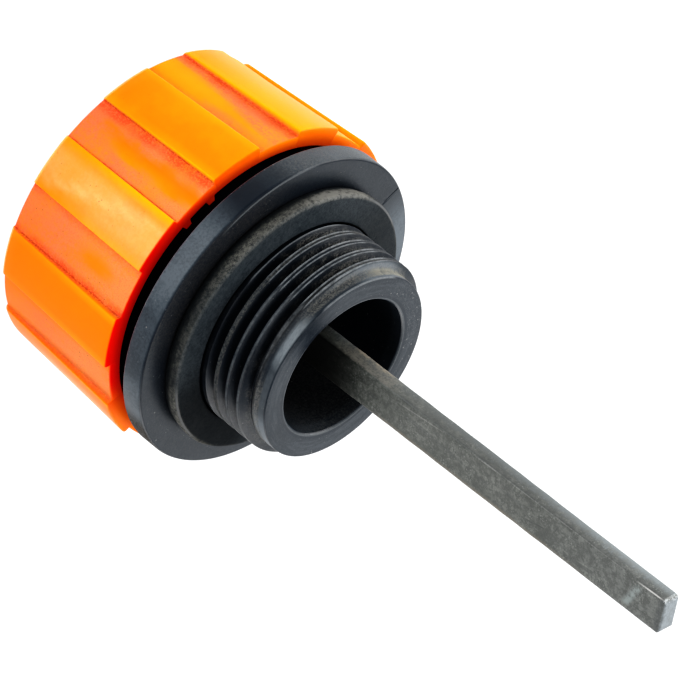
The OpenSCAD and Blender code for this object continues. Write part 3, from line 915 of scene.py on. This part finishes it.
    # the groove between the run-out and the end, swept thick on the upper side
    groove = t.band(z, 34.0, 34.25, 34.85, 35.2)
    sweep = t.noise(1.6, 5, 0.75, stretch=(1, 1, 0.35))
    swept = t.mul(t.mul(t.mul(neck, groove), t.lobe(-34, 13, 16)), t.ramp(sweep, 0.36, 0.54, 0.25, 1.0))
    amount = t.add(amount, t.mul(t.mul(neck, groove), t.mul(t.lobe(4, 24, 18), 0.62)))
    amount = t.add(amount, t.mul(t.mul(threads, t.lobe(125, 8, 18)), 0.12))
    amount = t.add(amount, t.mul(t.mul(neck, t.band(z, 33.2, 33.6, 34.3, 34.6)), t.mul(t.lobe(112, 24, 14), 0.5)))
    amount = t.add(amount, t.mul(face, 0.05))
    amount = t.add(amount, t.mul(t.mul(side, t.lobe(-18, 16, 14)), 0.22))
    amount = t.add(amount, t.mul(t.mul(side, t.lobe(148, 26, 12)), 0.10))
    bore = t.mul(t.ramp(r, 8.92, 9.1, 1.0, 0.0), t.ramp(z, 24.5, 26.0))
    amount = t.add(amount, t.mul(bore, t.add(0.05, t.mul(t.lobe(-172, 20, 40), 0.30))))
    cloud = t.add(t.mul(dusty, 0.6), t.mul(powder, 0.4))
    d = t.mul(amount, t.ramp(cloud, 0.43, 0.60, 0.05, 1.5), clamp=True)
    col = t.mix(t.mul(d, 0.85), col, (0.185, 0.178, 0.158))
    col = t.mix(t.mul(swept, 0.85), col, (0.30, 0.285, 0.225))
    tan = t.mul(t.mul(side, t.lobe(140, 20, 12)), t.ramp(grain, 0.34, 0.56, 0.45, 0.85))
    col = t.mix(tan, col, (0.026, 0.020, 0.013))
    # painted shadow along the flank of the last crest
    flank_shadow = t.mul(t.mul(neck, t.band(z, 33.35, 33.5, 33.9, 34.1)), t.mul(t.lobe(52, 36, 14), 0.85))
    col = t.mix(flank_shadow, col, (0.0015, 0.002, 0.003))
    # painted highlights along the edges and crests
    ring = t.add(r, t.mul(t.azimuth(0), 0.012))
    rim_edge = t.mul(t.mul(t.band(ring, 20.02, 20.16, 20.26, 20.40), t.ramp(z, 23.70, 23.80)), t.lobe(14, 15, 9))
    back_edge = t.mul(t.ramp(z, 21.02, 21.22, 1.0, 0.0), t.ramp(r, 20.0, 20.1))
    mouth = t.mul(t.mul(t.band(r, 9.04, 9.12, 9.26, 9.36), t.ramp(z, 35.25, 35.38)), t.sub(1.0, t.lobe(38, 8, 12)))
    end_edge = t.mul(t.mul(t.ramp(r, 11.86, 11.93), t.ramp(z, 35.33, 35.4)), t.lobe(0, 24, 6))
    # painted highlights: two thin lines along each crest on the upper side, one on the lower side
    two = t.lobe(4, 27, 6)
    one = t.lobe(75, 38, 8)
    crest = t.most(t.mul(t.band(off, -0.38, -0.30, -0.20, -0.12), t.mul(two, 0.8)), t.mul(t.band(off, 0.12, 0.18, 0.28, 0.36), two),
                   t.mul(t.band(off, -0.24, -0.10, 0.04, 0.16), t.mul(one, t.ramp(z, 28.6, 29.8, 0.06, 0.26))))
    crest = t.mul(t.mul(crest, t.mul(neck, t.ramp(r, 12.7, 12.95))), t.ramp(z, 27.0, 27.3))
    crest = t.mul(crest, t.ramp(t.noise(1.1, 4, 0.7), 0.38, 0.58, 0.36, 1.0))
    first = t.mul(t.mul(t.band(off, 0.14, 0.20, 0.28, 0.38), t.ramp(z, 27.0, 26.9)), t.lobe(8, 26, 10))
    foot_line = t.mul(t.mul(t.band(off, 0.34, 0.44, 0.56, 0.68), t.ramp(z, 33.5, 33.7)), t.lobe(-8, 18, 12))
    w = t.most(t.mul(rim_edge, 0.34), t.mul(back_edge, 0.16), t.mul(mouth, 0.30), t.mul(end_edge, 0.6), t.mul(crest, 0.95),
               t.mul(t.mul(first, neck), 0.7), t.mul(t.mul(foot_line, neck), 0.4))
    w = t.mul(w, t.ramp(dusty, 0.30, 0.55, 0.45, 1.1), clamp=True)
    col = t.mix(w, col, (0.19, 0.205, 0.215))
    # the wall under the flange's back edge carries fine chips
    chips = t.mul(t.band(z, 20.95, 21.05, 21.20, 21.35), t.mul(t.ramp(r, 20.1, 20.2), t.ramp(t.noise(2.8, 5, 0.75), 0.58, 0.63)))
    chips = t.mul(chips, t.add(0.25, t.mul(t.lobe(90, 14, 8), 0.55)))
    col = t.mix(chips, col, (0.34, 0.35, 0.35))
    # single pale specks
    pts = t.cells(1.9)
    keep = t.ramp(t.noise(0.7, 2, 0.5), 0.50, 0.58)
    sp = t.mul(t.ramp(pts, 0.06, 0.14, 1.0, 0.0), keep)
    sp = t.most(t.mul(sp, 0.45), t.mul(t.mul(t.ramp(t.cells(0.45), 0.028, 0.055, 1.0, 0.0), 0.9), t.ramp(blot, 0.50, 0.58)))
    sp = t.mul(sp, t.mul(t.ramp(z, 20.5, 21.0), t.sub(1.0, t.mul(side, t.lobe(25, 30, 12)))))
    dots = t.mul(t.mul(side, t.lobe(-22, 20, 8)), t.ramp(t.add(t.mul(powder, 0.6), t.mul(dusty, 0.4)), 0.55, 0.64))
    sp = t.most(sp, t.mul(dots, 0.42), t.mul(t.mul(end, t.lobe(-66, 30, 20)), t.ramp(t.cells(1.3), 0.07, 0.17, 0.8, 0.0)))
    col = t.mix(t.mul(sp, 0.62), col, (0.32, 0.32, 0.31))
    rough = t.add(t.add(0.38, t.mul(tan, 0.45)), t.add(t.mul(d, 0.35), t.mul(t.sub(grain, 0.5), 0.25)))
    t.bumps((t.noise(0.6, 3, 0.5), 0.020), (grain, 0.010), (t.mul(t.add(d, swept), cloud), 0.04), (sp, 0.03),
            (t.mul(end, rings), 0.012), (fine, 0.003))
    return t.set(Base_Color=col, Roughness=rough, IOR=1.5, Specular_IOR_Level=0.185)


def seal_material():
    t = Tree("seal_rubber")
    x, y, z = t.split()
    r = t.radius()
    grain = t.noise(3.5, 5, 0.7)
    dusty = t.noise(3.6, 7, 0.8)
    powder = t.noise(12.0, 5, 0.8)
    pits = t.cells(1.1)
    col = t.mix(t.ramp(t.noise(0.3, 3, 0.6), 0.35, 0.65), (0.0085, 0.0115, 0.0145), (0.0125, 0.0155, 0.0185))
    wall = t.mul(t.ramp(r, 16.4, 16.9), t.ramp(z, 24.3, 25.4))
    amount = t.add(t.mul(wall, t.add(t.add(t.mul(t.lobe(-19, 9, 14), 1.1), t.mul(t.lobe(14, 18, 36), 0.42)), t.add(0.13, t.most(t.mul(t.lobe(124, 14, 16), 0.42), t.mul(t.lobe(80, 8, 10), 0.10))))), 0.05)
    cloud = t.add(t.mul(dusty, 0.55), t.mul(powder, 0.45))
    smears = t.noise(1.7, 5, 0.75)
    cloud = t.add(t.mul(cloud, 0.62), t.mul(smears, 0.38))
    d = t.mul(amount, t.ramp(cloud, 0.42, 0.58, 0.22, 1.45), clamp=True)
    col = t.mix(t.mul(d, 0.85), col, t.mix(t.lobe(-22, 14, 24), (0.188, 0.181, 0.157), (0.215, 0.208, 0.183)))
    # painted highlight along the seal's front edge
    lip = t.mul(t.band(r, 16.62, 16.72, 16.86, 16.93), t.mul(t.ramp(z, 25.8, 25.95), t.most(t.lobe(118, 10, 12), t.mul(t.lobe(-50, 8, 10), 0.6))))
    col = t.mix(t.mul(lip, 0.8), col, (0.20, 0.20, 0.20))
    shade = t.mul(t.ramp(z, 25.9, 26.0), t.lobe(134, 26, 20))
    col = t.mix(t.mul(shade, 0.42), col, (0.003, 0.003, 0.003))
    # the front face lighter bluish grey in mottled patches, most towards azimuth 30
    face_mottle = t.mul(t.ramp(z, 25.9, 26.0), t.lobe(30, 50, 40))
    col = t.mix(t.mul(t.mul(face_mottle, t.ramp(cloud, 0.40, 0.60, 0.3, 1.0)), 0.27), col, (0.080, 0.098, 0.112))
    rough = t.add(t.add(0.62, t.mul(shade, 0.25)), t.mul(d, 0.25))
    t.bumps((t.noise(0.5, 3, 0.6), 0.05), (grain, 0.03), (t.ramp(pits, 0.0, 0.35), 0.02), (t.mul(d, cloud), 0.05),
            (t.noise(10, 3, 0.6), 0.006))
    return t.set(Base_Color=col, Roughness=rough, IOR=1.5, Specular_IOR_Level=0.10)


def steel_material():
    t = Tree("dark_phosphated_steel")
    x, y, z = t.split()
    run = t.mul(t.sub(z, 19.7), 0.01296)
    u, v = t.sub(x, run), t.add(y, run)        # across the bar's width and through its thickness, mm
    wide = t.ramp(v, 0.96, 1.06)
    narrow = t.mul(t.ramp(u, 2.26, 2.38), t.ramp(z, 86.6, 86.8, 1.0, 0.0))
    blot = t.noise(0.35, 5, 0.65, stretch=(1, 1, 0.5))
    mottle = t.noise(1.3, 6, 0.75)
    grain = t.noise(4.2, 5, 0.75)
    fine = t.noise(9.0, 4, 0.65)
    draw = t.noise(2.2, 3, 0.6, stretch=(1, 1, 0.06))
    col = t.mix(t.ramp(blot, 0.3, 0.7), (0.082, 0.087, 0.076), (0.150, 0.154, 0.138))
    col = t.mix(t.ramp(z, 62, 84, 0.0, 0.38), col, (0.205, 0.215, 0.208))
    col = t.mix(t.ramp(mottle, 0.44, 0.60, 0.62, 0.0), col, (0.040, 0.043, 0.038))
    col = t.mix(t.ramp(draw, 0.54, 0.70, 0.0, 0.45), col, (0.058, 0.062, 0.060))
    # pale pits and scuffs
    patches = t.ramp(t.noise(0.55, 3, 0.6), 0.42, 0.60, 0.15, 1.0)
    flecks = t.mul(t.ramp(t.cells(2.1), 0.14, 0.30, 1.0, 0.0), patches)
    col = t.mix(t.mul(t.mul(t.ramp(grain, 0.50, 0.64), patches), t.ramp(z, 66, 76, 0.40, 0.55)), col, (0.30, 0.31, 0.28))
    col = t.mix(t.mul(flecks, 0.22), col, (0.42, 0.43, 0.41))
    col = t.mix(t.ramp(t.add(t.mul(mottle, 0.5), t.mul(grain, 0.5)), 0.40, 0.50, 0.42, 0.0), col, (0.045, 0.048, 0.044))
    # the narrow side is worn pale and bluish towards its far edge
    worn = t.mul(narrow, t.ramp(t.add(v, t.mul(t.sub(mottle, 0.5), 2.6)), 0.5, -0.9))
    col = t.mix(t.mul(worn, t.ramp(z, 46, 80, 0.16, 0.72)), col, (0.30, 0.335, 0.345))
    # painted shade: the narrow side darker along the middle of its length
    col = t.mix(t.mul(narrow, t.mul(t.band(z, 43, 47, 70, 79), 0.20)), col, (0.02, 0.022, 0.023))
    col = t.mix(t.mul(narrow, t.mul(t.ramp(v, 0.35, 0.95), 0.45)), col, (0.07, 0.073, 0.07))
    # thin bright edge and scratches on the broad side
    def line(u0, u1, z0, z1, half, soft_z):
        k = (u1 - u0) / (z1 - z0)
        off = t.math("ABSOLUTE", t.sub(t.sub(u, u0), t.mul(t.sub(z, z0), k)))
        return t.mul(t.ramp(off, half * 0.5, half, 1.0, 0.0), t.band(z, z0 - soft_z, z0 + soft_z, z1 - soft_z, z1 + soft_z))
    broken = t.ramp(grain, 0.40, 0.52, 0.25, 1.0)
    marks = t.most(t.mul(line(2.20, 2.30, 83.2, 86.9, 0.10, 0.9), 1.0), t.mul(line(2.22, 2.30, 57.5, 60.5, 0.10, 1.0), 0.22),
                   t.mul(line(1.55, 2.10, 45.5, 51.5, 0.10, 1.5), 0.20), t.mul(line(2.28, 2.32, 62.0, 81.0, 0.07, 1.0), 0.14))
    marks = t.mul(t.mul(marks, wide), t.most(broken, t.ramp(z, 83.5, 84.5)))
    col = t.mix(marks, col, (0.62, 0.61, 0.58))
    # darker scores and stains
    scores = t.most(t.mul(line(-0.75, -0.15, 65.8, 68.6, 0.13, 0.5), 0.8), t.mul(line(0.1, 1.4, 69.9, 70.5, 0.30, 0.3), 0.6),
                    t.mul(line(-1.55, -1.05, 71.8, 76.5, 0.35, 1.0), 0.5), t.mul(line(-1.2, -0.9, 82.8, 86.5, 0.08, 0.8), 0.6))
    col = t.mix(t.mul(t.mul(scores, wide), t.ramp(mottle, 0.36, 0.56, 0.35, 1.0)), col, (0.035, 0.038, 0.036))
    # painted shade: a dark band across the broad side just before the tip
    col = t.mix(t.mul(wide, t.mul(t.band(z, 85.8, 86.5, 86.7, 86.9), 0.55)), col, (0.040, 0.045, 0.048))
    smear = t.math("ABSOLUTE", t.sub(t.sub(z, 82.45), t.mul(t.sub(u, 0.3), 0.42)))
    smear = t.mul(t.mul(t.ramp(smear, 0.10, 0.80, 1.0, 0.0), t.band(u, -1.9, -1.3, 1.4, 2.1)), wide)
    col = t.mix(t.mul(t.mul(smear, t.ramp(mottle, 0.38, 0.56, 0.25, 1.0)), 0.66), col, (0.30, 0.345, 0.335))
    # brown along the lower edge, dust where it leaves the bore
    brown = t.mul(t.ramp(t.add(u, t.mul(t.sub(mottle, 0.5), 0.8)), -1.70, -2.25), t.mul(t.band(z, 41, 43, 64, 82), t.ramp(grain, 0.36, 0.56, 0.4, 1.0)))
    col = t.mix(t.mul(brown, 0.50), col, (0.24, 0.195, 0.135))
    mouth = t.mul(t.band(z, 33.5, 36.0, 41.5, 45.0), narrow)
    col = t.mix(t.mul(mouth, t.ramp(t.add(t.mul(grain, 0.5), t.mul(mottle, 0.5)), 0.42, 0.56, 0.10, 0.75)), col, (0.205, 0.190, 0.160))
    mouth = t.mul(t.band(z, 35.5, 37.0, 40.5, 43.0), t.mul(narrow, t.ramp(v, -0.1, -0.9)))
    col = t.mix(t.mul(mouth, t.ramp(mottle, 0.44, 0.60, 0.0, 0.70)), col, (0.42, 0.35, 0.25))
    # painted shade: darker towards the bore and inside it, less on the narrow side
    col = t.mix(t.mul(t.ramp(z, 33.0, 42.0, 0.92, 0.0), t.sub(1.0, t.mul(narrow, 0.82))), col, (0.012, 0.012, 0.010))
    tip = t.ramp(z, 86.82, 86.98)
    col = t.mix(t.mul(tip, t.ramp(mottle, 0.36, 0.60, 0.45, 0.85)), col, (0.235, 0.262, 0.280))
    nick = t.mul(t.ramp(z, 86.6, 86.75), t.mul(t.ramp(u, 1.7, 2.0), t.ramp(grain, 0.46, 0.60)))
    col = t.mix(t.mul(nick, 0.7), col, (0.55, 0.58, 0.59))
    rough = t.add(0.46, t.add(t.mul(t.sub(grain, 0.5), 0.45), t.mul(t.sub(mottle, 0.5), 0.3)))
    t.bumps((blot, 0.03), (mottle, 0.03), (grain, 0.016), (draw, 0.010), (flecks, 0.01), (fine, 0.003))
    return t.set(Base_Color=col, Roughness=rough, Metallic=0.35, IOR=1.6)


def foam_material():
    t = Tree("open_cell_foam")
    c = t.cells(1.6)
    col = t.mix(t.ramp(c, 0.1, 0.6), (0.05, 0.05, 0.045), (0.30, 0.29, 0.25))
    t.bumps((c, 0.35), (t.noise(3.0, 4, 0.7), 0.1))
    return t.set(Base_Color=col, Roughness=0.95)


def guard_material():
    t = Tree("dark_guard_plastic")
    grain = t.noise(3.0, 4, 0.65)
    d = t.ramp(t.noise(0.9, 5, 0.7), 0.45, 0.7)
    col = t.mix(d, (0.016, 0.017, 0.018), (0.055, 0.050, 0.042))
    t.bumps((grain, 0.008), (d, 0.02))
    return t.set(Base_Color=col, Roughness=t.add(0.5, t.mul(d, 0.3)))


def floor_material():
    t = Tree("pale_floor")
    n = t.noise(0.004, 3, 0.5)
    col = t.mix(t.ramp(n, 0.3, 0.7), (0.155, 0.155, 0.155), (0.165, 0.165, 0.165))
    return t.set(Base_Color=col, Roughness=0.9, Specular_IOR_Level=0.0, Emission_Color=(0.985, 0.995, 1.0, 1.0),
                 Emission_Strength=0.92)


def dress(o, material, node):
    o.data.materials.clear()
    o.data.materials.append(material)
    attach(o, "root")
    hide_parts(node)


# ---------------------------------------------------------------- build
k = knob()
dress(k, knob_material(), "knob_cover")
p = plug()
finish_plug(p)
dress(p, plug_material(), "plug_body")
dress(seal(), seal_material(), "seal_ring")
dress(dipstick(), steel_material(), "dipstick")
dress(foam(), foam_material(), "foam_filter")
dress(guard(), guard_material(), "splash_guard")

# ---------------------------------------------------------------- floor and light
me = bpy.data.meshes.new("floor")
s = 4.0
me.from_pydata([(-s, -s, 0), (s, -s, 0), (s, s, 0), (-s, s, 0)], [], [(0, 1, 2, 3)])
floor = bpy.data.objects.new("floor", me)
scene.collection.objects.link(floor)
me.materials.append(floor_material())


def area(name, azimuth, elevation, distance, size, watts, colour=(1, 1, 1), size_y=None):
    l = bpy.data.lights.new(name, "AREA")
    l.shape = "RECTANGLE"
    l.size, l.size_y = size, size_y or size
    l.energy = watts
    l.color = colour
    o = bpy.data.objects.new(name, l)
    a, e = math.radians(azimuth), math.radians(elevation)
    at = Vector((0, 0, 0.03))
    d = Vector((math.cos(a) * math.cos(e), math.sin(a) * math.cos(e), math.sin(e)))
    o.location = at + d * distance
    o.rotation_euler = d.to_track_quat("Z", "Y").to_euler()
    scene.collection.objects.link(o)
    return o


area("right", -65, 24, 1.2, 0.7, 13)
area("left", 172, 20, 1.2, 0.7, 8)
area("back", 225, 38, 1.3, 1.1, 6.4, (0.93, 0.97, 1.0))
area("top", 45, 78, 1.2, 1.0, 7)
low = area("low_front", 50, -24, 0.062, 0.040, 0.016, (0.9, 0.96, 1.0))
low.visible_camera = False

world = bpy.data.worlds.new("studio")
scene.world = world
world.use_nodes = True
world.node_tree.nodes["Background"].inputs[0].default_value = (0.93, 0.96, 1.0, 1)
world.node_tree.nodes["Background"].inputs[1].default_value = 0.45

view = scene.view_settings
view.view_transform = "Standard"
view.look = "None"
view.exposure = 0.0
view.gamma = 1.0
view.use_curve_mapping = True
tone = view.curve_mapping
tone.white_level = (0.93, 0.93, 0.93)
for x, y in ((0.018, 0.007), (0.05, 0.034), (0.12, 0.108)):
    tone.curves[3].points.new(x, y)
tone.update()
